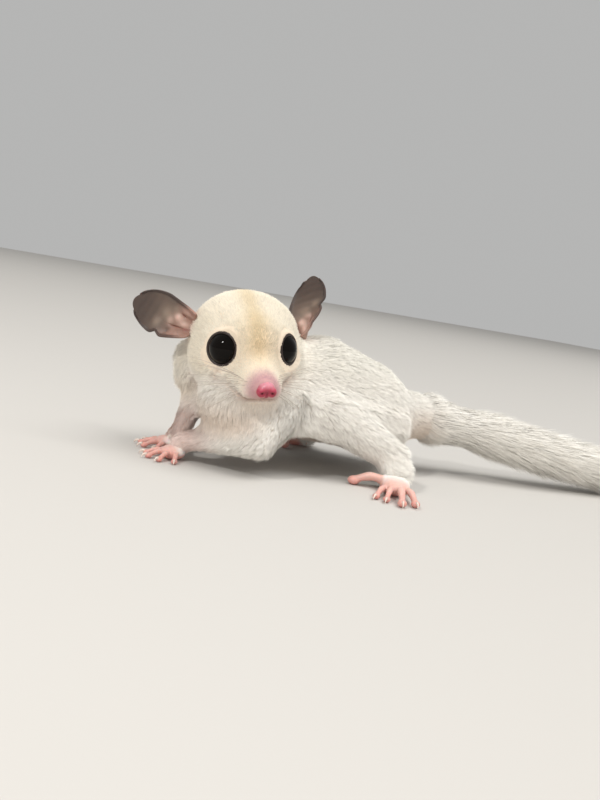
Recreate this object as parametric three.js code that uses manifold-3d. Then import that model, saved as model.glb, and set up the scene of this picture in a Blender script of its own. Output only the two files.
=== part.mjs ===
// A young white sugar glider as a still, life-size model, in millimetres, +Z up.
// It crouches with its trunk along X, head end towards -X, and looks back over its left side, towards -Y.
// The long-haired tail sinks to the floor behind it. The origin is on the floor, under the middle of the whole.
// Every size below includes the coat. Soft parts are blends of eggs and tapered rods, each drawn as one closed skin.
import * as THREE from "three";
import { mergeVertices } from "three/addons/utils/BufferGeometryUtils.js";
import Module from "manifold-3d";

const wasm = await Module();
wasm.setup();

// Clearance between two pieces that touch.
const GAP = 0.3;

// The trunk's line from breast to rump, with its radius at each point.
const TRUNK = [
  { at: [-15, 0.5, 14.7], radius: 8.6 },
  { at: [-8, 5.5, 18], radius: 10.2 },
  { at: [8, 7.5, 18.2], radius: 11.1 },
  { at: [21.5, 8.5, 15.2], radius: 10 },
  { at: [31, 9, 13.2], radius: 7.4 },
];

// The head's own frame has x forward to the nose, y to its left and z up, from the middle of the braincase.
const HEAD_AT = [-12.6, 5.5, 26.1];
const HEAD_TURN = -103;
const HEAD_DIP = 5.5;
const HEAD_TILT = 7.8;

const EYE_RADIUS = 3.95;
const EYE_AT = [6.9, 5.5, 0.5];
// The eye looks out sideways by this angle, and up by the next.
const EYE_SPLAY = 41;
const EYE_RISE = 8;
// The lids leave a round opening of this radius.
const LID_OPENING = 3.55;
const LID_THICKNESS = 0.8;

const NOSE_AT = [20.2, 0.4, -5];
const NOSE_RADII = [1.5, 1.95, 1.45];
const NOSTRIL_RADIUS = 0.5;

const EAR_LENGTH = 14;
const EAR_HALF_WIDTH = 5;
const EAR_THICKNESS = 0.8;

const TAIL_LENGTH = 112;
const TAIL_RADIUS = 7.2;
const LOCK_LENGTH = 21;
const LOCK_WIDTH = 7.6;
const LOCK_THICKNESS = 2;
const LOCK_RINGS = 9;
const LOCKS_IN_RING = 6;

const vec = ([x, y, z]) => new THREE.Vector3(x, y, z);
const radians = THREE.MathUtils.degToRad;
const lerp = THREE.MathUtils.lerp;
const clamp = THREE.MathUtils.clamp;

// A seeded draw from 0 to 1, the same on each run.
function drawer(seed) {
  let state = seed;
  return () => {
    state = (state * 1664525 + 1013904223) % 4294967296;
    return state / 4294967296;
  };
}

// A closed geometry as a solid that can be joined and cut.
function solidOf(geometry) {
  const bare = geometry.clone();
  bare.deleteAttribute("normal");
  bare.deleteAttribute("uv");
  const merged = mergeVertices(bare, 1e-4);
  return new wasm.Manifold(
    new wasm.Mesh({
      numProp: 3,
      vertProperties: merged.attributes.position.array,
      triVerts: new Uint32Array(merged.index.array),
    }),
  );
}

// Of the bodies that a join or a cut leaves, only the largest is kept.
function largest(solid) {
  return solid.decompose().reduce((best, body) => (body.volume() > best.volume() ? body : best));
}

function join(solids) {
  return solids.reduce((all, next) => all.add(next));
}

function cut(solid, tools) {
  return largest(tools.reduce((rest, tool) => rest.subtract(tool), solid));
}

// Everything below the floor, as a block to cut with.
const FLOOR = solidOf(new THREE.BoxGeometry(600, 600, 40).translate(0, 0, -20));

// A tapered rod between two points: the distance to its surface, negative inside.
function rod(from, to, startRadius, endRadius) {
  const start = vec(from);
  const along = vec(to).sub(start);
  const lengthSquared = along.lengthSq();
  const offset = new THREE.Vector3();
  return (p) => {
    offset.copy(p).sub(start);
    const t = clamp(offset.dot(along) / lengthSquared, 0, 1);
    return offset.addScaledVector(along, -t).length() - lerp(startRadius, endRadius, t);
  };
}

// An egg with its axes along x, y and z: nearly the distance to its surface.
function egg(centre, radii) {
  const [rx, ry, rz] = radii;
  const [cx, cy, cz] = centre;
  return (p) => {
    const x = (p.x - cx) / rx;
    const y = (p.y - cy) / ry;
    const z = (p.z - cz) / rz;
    const reach = Math.hypot(x, y, z);
    const steepness = Math.hypot(x / rx, y / ry, z / rz);
    return steepness < 1e-6 ? -Math.min(rx, ry, rz) : (reach * (reach - 1)) / steepness;
  };
}

// Several forms that flow into one another over the given distance.
function blend(forms, softness) {
  return (p) =>
    forms.reduce((nearest, form) => {
      const next = form(p);
      const overlap = Math.max(softness - Math.abs(nearest - next), 0) / softness;
      return Math.min(nearest, next) - (overlap * overlap * softness) / 4;
    }, Infinity);
}

function blendOf(points, softness) {
  const rods = points.slice(1).map((next, i) => rod(points[i].at, next.at, points[i].radius, next.radius));
  return blend(rods, softness);
}

// How far a ray from inside a form goes before it leaves it.
function reachOf(form, origin, direction, grow) {
  const point = new THREE.Vector3();
  const depth = (s) => form(point.copy(direction).multiplyScalar(s).add(origin)) - grow;
  let near = 0;
  let far = 0;
  for (let step = 0; step < 200 && depth(far) < 0; step += 1) {
    near = far;
    far += Math.max(0.05, -0.7 * depth(far));
  }
  for (let step = 0; step < 14; step += 1) {
    const middle = (near + far) / 2;
    if (depth(middle) < 0) near = middle;
    else far = middle;
  }
  return far;
}

// The skin of a form: rays from a line inside it, square to the line along its length and fanned out at its ends.
// The line is a list of points. END_SHARE of the rings make each round end.
const END_SHARE = 0.27;

function skinOf(form, line, { sides = 20, rings = 18, grow = 0, up = [0, 0, 1] } = {}) {
  const curve = new THREE.CatmullRomCurve3(line.map(vec), false, "centripetal");
  const shape = new THREE.SphereGeometry(1, sides, rings);
  const position = shape.attributes.position;
  const upward = vec(up);
  const tangent = new THREE.Vector3();
  const across = new THREE.Vector3();
  const over = new THREE.Vector3();
  const direction = new THREE.Vector3();
  for (let i = 0; i < position.count; i += 1) {
    const share = Math.acos(clamp(position.getY(i), -1, 1)) / Math.PI;
    const turn = Math.atan2(position.getZ(i), position.getX(i));
    const t = clamp((share - END_SHARE) / (1 - 2 * END_SHARE), 0, 1);
    const beyond = share < END_SHARE ? share / END_SHARE - 1 : Math.max(0, 1 - (1 - share) / END_SHARE);
    const lean = (beyond * Math.PI) / 2;
    const origin = curve.getPointAt(t);
    curve.getTangentAt(t, tangent);
    across.crossVectors(upward, tangent).normalize();
    over.crossVectors(tangent, across);
    direction.copy(across).multiplyScalar(Math.cos(turn) * Math.cos(lean));
    direction.addScaledVector(over, -Math.sin(turn) * Math.cos(lean));
    direction.addScaledVector(tangent, Math.sin(lean)).normalize();
    const reach = reachOf(form, origin, direction, grow);
    position.setXYZ(i, ...origin.addScaledVector(direction, reach).toArray());
  }
  const solid = solidOf(shape);
  if (solid.volume() > 0) return solid;
  shape.scale(-1, 1, 1);
  return solidOf(shape).scale([-1, 1, 1]);
}

// A form and its line together, drawn at its own size or grown by a clearance.
function body(form, line, detail) {
  return {
    solid: skinOf(form, line, detail),
    grown: skinOf(form, line, { ...detail, grow: GAP }),
  };
}

function limb(points, softness, detail) {
  return body(
    blendOf(points, softness),
    points.map((p) => p.at),
    detail,
  );
}

// A tapered, bent and flattened cone, used for claws and for locks of hair.
// It runs from root past middle to tip, is as wide as width along across, and keeps its width well for its length.
function spike({ root, middle, tip, across, width, thickness, sides, steps, fullness }) {
  const curve = new THREE.QuadraticBezierCurve3(root, middle, tip);
  const shape = new THREE.ConeGeometry(0.5, 1, sides, steps);
  const position = shape.attributes.position;
  const tangent = new THREE.Vector3();
  const side = new THREE.Vector3();
  const lift = new THREE.Vector3();
  for (let i = 0; i < position.count; i += 1) {
    const t = clamp(position.getY(i) + 0.5, 0, 1);
    const fill = t < 1 ? Math.pow(1 - t, fullness - 1) : 0;
    curve.getTangent(t, tangent);
    lift.crossVectors(tangent, across).normalize();
    side.crossVectors(lift, tangent);
    const point = curve.getPoint(t);
    point.addScaledVector(side, position.getX(i) * width * fill);
    point.addScaledVector(lift, -position.getZ(i) * thickness * fill);
    position.setXYZ(i, point.x, point.y, point.z);
  }
  return solidOf(shape);
}

const model = new THREE.Group();
const glider = new THREE.Group();
model.add(glider);

const COAT = { color: 0xe9e4d6, roughness: 0.9, metalness: 0 };
const SKIN = { color: 0xe3b3ad, roughness: 0.6, metalness: 0 };
const EAR_SKIN = { color: 0x6f5c54, roughness: 0.65, metalness: 0 };
const NOSE_SKIN = { color: 0xcf6f7b, roughness: 0.4, metalness: 0 };
const EYE = { color: 0x0b0908, roughness: 0.08, metalness: 0 };

function addNode(name, solid, finish) {
  const { numProp, vertProperties, triVerts } = solid.getMesh();
  const positions = new Float32Array((vertProperties.length / numProp) * 3);
  for (let i = 0; i < positions.length / 3; i += 1) {
    positions.set(vertProperties.subarray(i * numProp, i * numProp + 3), i * 3);
  }
  const geometry = new THREE.BufferGeometry();
  geometry.setAttribute("position", new THREE.BufferAttribute(positions, 3));
  geometry.setIndex(new THREE.BufferAttribute(triVerts, 1));
  geometry.computeVertexNormals();
  const mesh = new THREE.Mesh(geometry, new THREE.MeshStandardMaterial(finish));
  mesh.name = name;
  glider.add(mesh);
}

// Trunk
const trunk = limb(TRUNK, 5, { sides: 24, rings: 20 });

// Head, made in its own frame and turned into place
const headFrame = new THREE.Matrix4().makeRotationFromEuler(
  new THREE.Euler(radians(HEAD_TILT), radians(HEAD_DIP), radians(HEAD_TURN), "ZYX"),
);
headFrame.setPosition(vec(HEAD_AT));

function inHead(solid) {
  return solid.transform(headFrame.elements);
}

const mirrored = ([x, y, z], side) => [x, y * side, z];

function eyeDirection(side) {
  const splay = radians(EYE_SPLAY);
  const rise = radians(EYE_RISE);
  return new THREE.Vector3(Math.cos(splay) * Math.cos(rise), side * Math.sin(splay) * Math.cos(rise), Math.sin(rise));
}

function headForm() {
  const forms = [
    egg([-3, 0, 1.3], [11.5, 12.2, 10.3]),
    egg([5, 0, 2.6], [8.4, 7.6, 6.2]),
    rod([8, 0, -2.4], [18.5, 0, -5], 5.6, 2.4),
    rod([3, 0, -7], [15, 0, -7.2], 5.6, 2.1),
  ];
  [1, -1].forEach((side) => {
    forms.push(egg(mirrored([0, 5.8, -3.4], side), [10, 6.8, 7]));
    forms.push(egg(mirrored([6, 4.4, -5.6], side), [6.5, 4.2, 4.4]));
    forms.push(egg(mirrored([14.6, 2.3, -6], side), [4.2, 2.3, 2.3]));
    const mound = vec(mirrored(EYE_AT, side)).addScaledVector(eyeDirection(side), -1);
    forms.push(egg(mound.toArray(), [4.6, 4.6, 4.6]));
  });
  return blend(forms, 2);
}

const HEAD_LINE = [
  [-8, 0, 0],
  [4, 0, -1],
  [16, 0, -4.8],
];
const headDetail = { sides: 26, rings: 24 };
const headSkin = body(headForm(), HEAD_LINE, headDetail);

function eyeball(side, grow) {
  const ball = new THREE.SphereGeometry(EYE_RADIUS + grow, 16, 10);
  return solidOf(ball.translate(...mirrored(EYE_AT, side)));
}

// A form made about the origin along +z, set on the eyeball's middle and turned the way the eye looks.
function onEye(geometry, side) {
  const turn = new THREE.Quaternion().setFromUnitVectors(new THREE.Vector3(0, 0, 1), eyeDirection(side));
  return solidOf(geometry.applyQuaternion(turn).translate(...mirrored(EYE_AT, side)));
}

// The lids are one soft ring on the eyeball, round the part that shows.
const lidHeight = Math.sqrt(EYE_RADIUS * EYE_RADIUS - LID_OPENING * LID_OPENING);

function lids(side, grow) {
  const ring = new THREE.TorusGeometry(LID_OPENING + 0.35, LID_THICKNESS + grow, 5, 16);
  return onEye(ring.translate(0, 0, lidHeight), side);
}

function eyeOpening(side) {
  const bore = new THREE.CylinderGeometry(LID_OPENING, LID_OPENING, 8, 16).rotateX(Math.PI / 2);
  return onEye(bore.translate(0, 0, 4), side);
}

function noseForm() {
  const lobes = [1, -1].map((side) => egg([20.1, 0.4 + 0.95 * side, -5.4], [1.4, 1.1, 1.2]));
  return blend([egg(NOSE_AT, NOSE_RADII), ...lobes], 0.8);
}

const NOSE_LINE = [
  [19.5, 0.4, -5],
  [20.5, 0.4, -5],
];
const nose = body(noseForm(), NOSE_LINE, { sides: 12, rings: 8 });

function nostril(side) {
  const hole = new THREE.SphereGeometry(NOSTRIL_RADIUS, 8, 6).scale(1.5, 1, 0.8);
  return solidOf(hole.translate(21.3, 0.4 + 1.1 * side, -5.6));
}

// The line of the mouth runs from one corner, under the nose, to the other.
function mouthGroove() {
  const line = [
    [8, 6.2, -6.1],
    [12.5, 4.3, -7],
    [17, 2.1, -7.4],
    [19, 0, -7.4],
  ];
  const whole = [...line, ...line.slice(0, -1).reverse().map((p) => mirrored(p, -1))];
  const path = new THREE.CatmullRomCurve3(whole.map(vec));
  const section = new THREE.Shape().absellipse(0, 0, 0.42, 0.42, 0, 2 * Math.PI);
  const tube = new THREE.ExtrudeGeometry(section, { steps: 12, curveSegments: 2, extrudePath: path });
  return solidOf(tube);
}

const eyeSockets = [1, -1].map((side) => eyeball(side, GAP));
const headWhole = join([headSkin.solid, lids(1, 0), lids(-1, 0)]);
const openings = [1, -1].map(eyeOpening);
const head = inHead(cut(headWhole, [...eyeSockets, ...openings, nose.grown, mouthGroove()]));
const headGrown = inHead(join([headSkin.grown, lids(1, GAP), lids(-1, GAP)]));
addNode("nose", inHead(cut(nose.solid, [nostril(1), nostril(-1)])), NOSE_SKIN);
addNode("eye_left", inHead(eyeball(1, 0)), EYE);
addNode("eye_right", inHead(eyeball(-1, 0)), EYE);

// Ears: a thin cupped leaf. Along it t runs from the root at 0 to the tip at 1, and s from -1 to 1 across it.
function earHalfWidth(t, s) {
  const base = s < 0 ? 0.31 : 0.73;
  const fullness = t < 0.5 ? lerp(base, 1, Math.pow(t / 0.5, 0.8)) : Math.sqrt(1 - Math.pow((t - 0.5) / 0.56, 2));
  const notch = s < 0 ? 0.2 * Math.exp(-Math.pow((t - 0.53) / 0.06, 2)) : 0;
  return EAR_HALF_WIDTH * (fullness - notch);
}

function ear({ side, at, along, facing }) {
  const length = vec(along).normalize();
  const face = vec(facing).projectOnPlane(length).normalize();
  const across = new THREE.Vector3().crossVectors(length, face).multiplyScalar(-side);
  const root = vec(at);
  const leaf = new THREE.BoxGeometry(1, 1, 1, 8, 12, 1);
  const position = leaf.attributes.position;
  for (let i = 0; i < position.count; i += 1) {
    const s = -2 * position.getX(i);
    const t = position.getY(i) + 0.5;
    const layer = position.getZ(i);
    const rim = 1 - 0.45 * Math.pow(Math.abs(s), 3);
    const cupping = 3.1 * (1 - t) * (1 - t) * s * s + 0.5 * t * t;
    const rounding = 1 - 0.1 * s * s * Math.pow(t, 3);
    const point = root.clone();
    point.addScaledVector(length, EAR_LENGTH * (t * rounding - 0.16 * (1 - t)));
    point.addScaledVector(across, s * earHalfWidth(t, s));
    point.addScaledVector(face, cupping + layer * EAR_THICKNESS * rim);
    position.setXYZ(i, point.x, point.y, point.z);
  }
  const solid = solidOf(leaf);
  if (solid.volume() > 0) return solid;
  leaf.scale(-1, 1, 1);
  return solidOf(leaf).scale([-1, 1, 1]);
}

// Neck: the nape, and the throat that hangs down to the breast
const neckForm = blend(
  [
    rod([-6, 7, 20.5], [-11.5, 10, 25.5], 9.2, 8.6),
    rod([-10, 12, 21], [-18.8, 16.4, 21], 7.5, 4.3),
    rod([-18.8, 16.4, 21], [-19.4, 16.4, 16.5], 4.3, 4),
    rod([-11, 5, 19], [-16, -3.5, 14.8], 8.5, 6),
  ],
  4,
);
const NECK_LINE = [
  [-17.5, 15.5, 19],
  [-13, 10.5, 20],
  [-12, 4, 19],
  [-15.5, -2, 15.5],
];
const neck = body(neckForm, NECK_LINE, { sides: 20, rings: 18 });

// The right ear lies out sideways. The left one stands up.
const EARS = [
  { name: "ear_left", side: 1, at: [-4.3, 14.3, 2.1], along: [-0.47, 0.23, 0.85], facing: [0.52, -0.8, 0.31] },
  { name: "ear_right", side: -1, at: [-4.4, -12.6, 3.1], along: [-0.57, -0.76, 0.29], facing: [0.86, -0.49, 0.16] },
];

// Limbs
const LEGS = {
  hindleg_left: [
    { at: [25.5, 2.5, 11.5], radius: 6.6 },
    { at: [5, -4.2, 14.4], radius: 5.3 },
    { at: [20.2, -10.8, 7], radius: 3.7 },
  ],
  hindleg_right: [
    { at: [25.5, 15.5, 11.5], radius: 6.6 },
    { at: [5, 21, 13.6], radius: 5.3 },
    { at: [20.5, 27, 6.8], radius: 3.7 },
  ],
  foreleg_left: [
    { at: [-5.5, -3, 14.6], radius: 6.2 },
    { at: [-12.6, -9.6, 6.8], radius: 2.8 },
    { at: [-24.4, 3.4, 4.5], radius: 2 },
  ],
  foreleg_right: [
    { at: [-12, 12.5, 15.5], radius: 6.4 },
    { at: [-18.2, 15.9, 11], radius: 3 },
    { at: [-22.3, 11.2, 4.9], radius: 2 },
  ],
};

// A leg is an upper and a lower part, which meet at the elbow or knee.
function leg(points, detail) {
  const upper = limb(points.slice(0, 2), 2, detail);
  const lower = limb(points.slice(1), 2, detail);
  return { solid: join([upper.solid, lower.solid]), grown: join([upper.grown, lower.grown]) };
}

const legDetail = { sides: 10, rings: 9 };

// Feet are made flat on the floor, pointing along +x with the thumb side towards +y, then turned and placed.
// A digit is given by its root, the way it points in degrees, its length and its thickness.
function digit({ root, turn, length, thickness, claw }) {
  const way = new THREE.Vector3(Math.cos(radians(turn)), Math.sin(radians(turn)), 0);
  const side = new THREE.Vector3(-way.y, way.x, 0);
  const place = (share, height) => [root[0] + way.x * length * share, root[1] + way.y * length * share, height];
  const radius = thickness / 2;
  const points = [
    { at: place(0, radius * 1.5), radius },
    { at: place(0.55, radius * 1.9), radius: radius * 0.9 },
    { at: place(1, radius * 0.85), radius: radius * 1.15 },
  ];
  const toe = skinOf(
    blendOf(points, radius),
    points.map((p) => p.at),
    { sides: 5, rings: 6 },
  );
  if (!claw) return [toe];
  const tip = vec(place(1, radius * 1.7));
  const nail = spike({
    root: tip.clone().addScaledVector(way, -0.3),
    middle: tip.clone().addScaledVector(way, radius + claw * 0.6),
    tip: vec([tip.x + way.x * (radius + claw), tip.y + way.y * (radius + claw), 0.12]),
    across: side,
    width: 0.85,
    thickness: 0.95,
    sides: 4,
    steps: 1,
    fullness: 0.8,
  });
  return [toe, nail];
}

const HAND = {
  palm: { centre: [1.9, 0, 1.5], radii: [2.8, 2.5, 1.8] },
  digits: [
    { root: [1.4, 1.3], turn: 54, length: 3.6, thickness: 1.5, claw: 1.1 },
    { root: [2.7, 1.1], turn: 28, length: 4.3, thickness: 1.5, claw: 1.2 },
    { root: [3.1, 0.1], turn: 2, length: 4.6, thickness: 1.5, claw: 1.2 },
    { root: [2.8, -0.9], turn: -26, length: 4.6, thickness: 1.5, claw: 1.2 },
    { root: [1.8, -1.4], turn: -54, length: 4.3, thickness: 1.5, claw: 1.1 },
  ],
  wrist: { at: [0, 0, 3.4], radius: 2.2 },
};
const FOOT = {
  palm: { centre: [5, 0, 1.8], radii: [6.2, 3.5, 2.4] },
  digits: [
    { root: [4.4, 2], turn: 92, length: 7.2, thickness: 2.5 },
    { root: [8.6, 2.1], turn: 18, length: 6.8, thickness: 1.7, claw: 1.6 },
    { root: [9.2, 0.9], turn: 9, length: 7.4, thickness: 1.7, claw: 1.6 },
    { root: [9, -0.8], turn: -2, length: 9.4, thickness: 2.1, claw: 1.5 },
    { root: [8, -2.2], turn: -12, length: 8.8, thickness: 2, claw: 1.5 },
  ],
  wrist: { at: [1, 0, 4.2], radius: 3.4 },
};

function foot({ plan, at, turn, thumbSide }) {
  const palmForm = blend(
    [egg(plan.palm.centre, plan.palm.radii), rod(plan.wrist.at, plan.palm.centre, plan.wrist.radius, 1.5)],
    1.2,
  );
  const [cx, cy, cz] = plan.palm.centre;
  const palm = skinOf(
    palmForm,
    [
      [cx - 2, cy, cz],
      [cx + 2, cy, cz],
    ],
    { sides: 10, rings: 8 },
  );
  const whole = join([palm, ...plan.digits.flatMap(digit)]);
  const sided = thumbSide > 0 ? whole : whole.mirror([0, 1, 0]);
  return sided.rotate([0, 0, turn]).translate([at[0], at[1], 0]);
}

const FEET = {
  forefoot_left: { plan: HAND, at: [-24.6, 4], turn: 190, thumbSide: -1 },
  forefoot_right: { plan: HAND, at: [-22.5, 12.6], turn: 150, thumbSide: 1 },
  hindfoot_left: { plan: FOOT, at: [20.8, -11.6], turn: 238, thumbSide: -1 },
  hindfoot_right: { plan: FOOT, at: [20.5, 28], turn: 140, thumbSide: 1 },
};

// Gliding membrane: folded along the flank, between elbow and knee
const FOLDS = {
  glide_fold_left: [
    { at: [-10.5, -6.8, 10], radius: 2.2 },
    { at: [-4, -5, 12], radius: 2.6 },
    { at: [4, -5, 11.2], radius: 2.6 },
    { at: [13, -7.5, 9], radius: 2.2 },
  ],
  glide_fold_right: [
    { at: [-14, 17.5, 10], radius: 2.2 },
    { at: [-6, 17.5, 11.5], radius: 2.6 },
    { at: [3, 19.5, 10], radius: 2.6 },
    { at: [13, 23.5, 8], radius: 2.2 },
  ],
};

// Tail: a thin core with long locks that lie back along it
const TAIL_LINE = [
  [33, 9, 14.2],
  [44, 7, 13.2],
  [54, 4.2, 12.2],
  [72, -1.5, 9.4],
  [90, -6, 7],
  [108, -10, 6.2],
  [125, -13.5, 5.6],
  [142, -16, 4],
];
const tailCurve = new THREE.CatmullRomCurve3(TAIL_LINE.map(vec), false, "centripetal");

function tailRadius(share) {
  return TAIL_RADIUS * (1 - 0.14 * share) * Math.min(1, Math.pow((1 - share) / 0.15 + 0.02, 0.6));
}

function coreRadius(share) {
  return lerp(0.97, 0.5, clamp(share / 0.13, 0, 1)) * tailRadius(share);
}

function tailFrame(share) {
  const t = clamp(share, 0, 1);
  const along = tailCurve.getTangentAt(t);
  const at = tailCurve.getPointAt(t).addScaledVector(along, (share - t) * tailCurve.getLength());
  const across = new THREE.Vector3().crossVectors(along, new THREE.Vector3(0, 0, 1)).normalize();
  const over = new THREE.Vector3().crossVectors(across, along);
  return { at, across, over };
}

function tailPoint(share, turn, distance) {
  const { at, across, over } = tailFrame(share);
  return at.addScaledVector(across, Math.cos(turn) * distance).addScaledVector(over, Math.sin(turn) * distance);
}

function tailLock(share, turn, length) {
  const span = length / TAIL_LENGTH;
  const end = Math.min(share + span, 1.02);
  const { across, over } = tailFrame(share);
  const around = across.multiplyScalar(-Math.sin(turn)).addScaledVector(over, Math.cos(turn));
  return spike({
    root: tailPoint(share, turn, coreRadius(share) * 0.55),
    middle: tailPoint(lerp(share, end, 0.35), turn, tailRadius(share) * 1.1),
    tip: tailPoint(end, turn, tailRadius(Math.min(end, 1)) * 0.9),
    across: around,
    width: LOCK_WIDTH * (1 - 0.3 * share),
    thickness: LOCK_THICKNESS,
    sides: 4,
    steps: 3,
    fullness: 0.55,
  });
}

function tail() {
  const draw = drawer(7);
  const core = [];
  for (let i = 0; i <= 12; i += 1) {
    const share = (i / 12) * 0.93;
    core.push({ at: tailFrame(share).at.toArray(), radius: coreRadius(share) });
  }
  const pieces = [
    skinOf(
      blendOf(core, 1),
      core.map((p) => p.at),
      { sides: 9, rings: 18 },
    ),
  ];
  for (let ring = 0; ring < LOCK_RINGS; ring += 1) {
    const share = lerp(0.03, 0.93, ring / (LOCK_RINGS - 1));
    for (let place = 0; place < LOCKS_IN_RING; place += 1) {
      const turn = (2 * Math.PI * (place + (ring % 2) / 2 + 0.3 * (draw() - 0.5))) / LOCKS_IN_RING;
      pieces.push(tailLock(share + 0.02 * (draw() - 0.5), turn, LOCK_LENGTH * (0.85 + 0.3 * draw())));
    }
  }
  return join(pieces);
}

// Each piece yields to those placed before it, and all of them to the floor.
const placed = [FLOOR];

function place(name, solid, finish, grown) {
  addNode(name, cut(solid, placed), finish);
  if (grown) placed.push(grown);
}

place("head", head, COAT, headGrown);
place("torso", trunk.solid, COAT, trunk.grown);
place("neck", neck.solid, COAT, neck.grown);
EARS.forEach((shape) => place(shape.name, inHead(ear(shape)), EAR_SKIN));
Object.entries(LEGS).forEach(([name, points]) => {
  const made = leg(points, legDetail);
  place(name, made.solid, COAT, made.grown);
});
Object.entries(FOLDS).forEach(([name, points]) => {
  const made = limb(points, 2, { sides: 12, rings: 14 });
  place(name, made.solid, COAT, made.grown);
});
Object.entries(FEET).forEach(([name, shape]) => place(name, foot(shape), SKIN));
place("tail", tail(), COAT);

// The origin is set on the floor, under the middle of the whole.
const bounds = new THREE.Box3().setFromObject(glider);
const middle = bounds.getCenter(new THREE.Vector3());
glider.position.set(-middle.x, -middle.y, 0);

export default model;
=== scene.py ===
"""A young white sugar glider, crouching, with its head turned back over its left side.

Everything is modelled in millimetres in the animal's own axes: its trunk lies along x with the head end
towards -x, its left side faces -y, and the floor is z = 0. Each piece is put into the frame, in metres,
at the end.
"""

import math

import bmesh
import bpy
import numpy as np
from mathutils import Matrix, Vector
from mathutils.bvhtree import BVHTree
from mathutils.kdtree import KDTree


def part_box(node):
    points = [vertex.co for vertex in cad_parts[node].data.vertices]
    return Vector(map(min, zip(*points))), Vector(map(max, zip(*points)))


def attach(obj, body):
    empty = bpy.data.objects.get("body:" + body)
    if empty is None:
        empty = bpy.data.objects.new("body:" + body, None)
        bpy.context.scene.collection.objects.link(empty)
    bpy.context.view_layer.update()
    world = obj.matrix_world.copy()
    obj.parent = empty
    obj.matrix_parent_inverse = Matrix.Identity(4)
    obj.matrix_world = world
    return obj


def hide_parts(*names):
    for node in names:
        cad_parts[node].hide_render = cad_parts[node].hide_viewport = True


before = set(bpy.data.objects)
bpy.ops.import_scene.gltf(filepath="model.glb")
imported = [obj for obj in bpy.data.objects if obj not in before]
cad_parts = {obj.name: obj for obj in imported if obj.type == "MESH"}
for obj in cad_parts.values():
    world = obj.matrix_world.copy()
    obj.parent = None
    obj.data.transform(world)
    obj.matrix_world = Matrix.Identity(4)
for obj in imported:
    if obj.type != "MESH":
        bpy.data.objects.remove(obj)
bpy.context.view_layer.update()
BODY = "root"
METRES = 0.001

# The head's own frame has x forward to the nose, y to its left and z up, from the middle of the braincase.
HEAD_AT = Vector((-12.6, 5.5, 26.1))
HEAD_TURN = math.radians(-103)
HEAD_DIP = math.radians(5.5)
HEAD_TILT = math.radians(7.8)
HEAD_FRAME = Matrix.LocRotScale(
    HEAD_AT,
    Matrix.Rotation(HEAD_TURN, 3, "Z")
    @ Matrix.Rotation(HEAD_DIP, 3, "Y")
    @ Matrix.Rotation(HEAD_TILT, 3, "X"),
    None,
)

EYE_RADIUS = 3.95
EYE_AT = Vector((6.9, 5.5, 0.5))
# Each eye looks out sideways by the first angle, and up by the next. Its lids open to the third, taken from
# the way it looks. The left eye, 1, looks further out and is a little more closed than the right, -1.
EYE_SPLAYS = {1: math.radians(47), -1: math.radians(41)}
EYE_RISE = math.radians(8)
LID_ANGLES = {1: math.radians(51), -1: math.radians(57)}

NOSE_AT = Vector((20.2, 0.4, -5))
MOUTH_LINE = [(8, 6.6, -4.9), (12.5, 4.6, -6.1), (17, 2.3, -7), (19, 0, -7.2)]

# Left and right, as in the head's frame, with y to the left.
SIDES = {"left": 1, "right": -1}


def eye_way(side):
    """The way an eye looks, in the head's frame."""
    splay = EYE_SPLAYS[side]
    level = math.cos(EYE_RISE)
    return Vector((math.cos(splay) * level, side * math.sin(splay) * level, math.sin(EYE_RISE)))


def eye_frame(side):
    """The frame of an eyeball: its middle, with z the way it looks."""
    aim = eye_way(side).to_track_quat("Z", "Y").to_matrix().to_4x4()
    return HEAD_FRAME @ Matrix.Translation(Vector((EYE_AT.x, side * EYE_AT.y, EYE_AT.z))) @ aim


EAR_LENGTH = 14.0
EAR_HALF_WIDTH = 5.0
EAR_THICKNESS = 0.45
EARS = {
    "left": {"at": (-4.3, 14.3, 2.1), "along": (-0.47, 0.23, 0.85), "facing": (0.52, -0.8, 0.31)},
    "right": {"at": (-4.4, -12.6, 3.1), "along": (-0.57, -0.76, 0.29), "facing": (0.86, -0.49, 0.16)},
}

# The points that each leg's line runs through: shoulder or hip, elbow or knee, wrist or heel.
LEGS = {
    "foreleg_left": [(-5.5, -3, 14.6), (-12.6, -9.6, 6.8), (-24.4, 3.4, 4.5)],
    "foreleg_right": [(-12, 12.5, 15.5), (-18.2, 15.9, 11), (-22.3, 11.2, 4.9)],
    "hindleg_left": [(25.5, 2.5, 11.5), (5, -4.2, 14.4), (20.2, -10.8, 7)],
    "hindleg_right": [(25.5, 15.5, 11.5), (5, 21, 13.6), (20.5, 27, 6.8)],
}
FOLDS = ["glide_fold_left", "glide_fold_right"]
FLESH = ["head", "neck", "torso", *LEGS, *FOLDS]

TAIL_LINE = [
    (33, 9, 14.2),
    (44, 7, 13.2),
    (54, 4.2, 12.2),
    (72, -1.5, 9.4),
    (90, -6, 7),
    (108, -10, 6.2),
    (125, -13.5, 5.6),
    (142, -16, 4),
]
# How far the tail's hair reaches from its line, where it is fullest.
TAIL_RADIUS = 7.2

SEED = 5
rng = np.random.default_rng(SEED)


def smooth(low, high, value):
    """0 below low, 1 above high and a soft step between them."""
    share = np.clip((value - low) / (high - low), 0, 1)
    return share * share * (3 - 2 * share)


def unit(vectors):
    return vectors / np.maximum(np.linalg.norm(vectors, axis=-1, keepdims=True), 1e-9)


def gap_to(points, place):
    """How far each point is from one place."""
    return np.linalg.norm(points - np.array(place), axis=1)


def middle_of(node):
    low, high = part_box(node)
    return (low + high) / 2 / METRES


def in_head(x, y, z):
    return HEAD_FRAME @ Vector((x, y, z))


def moved(points, matrix):
    matrix = np.array(matrix)
    return points @ matrix[:3, :3].T + matrix[:3, 3]


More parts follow.
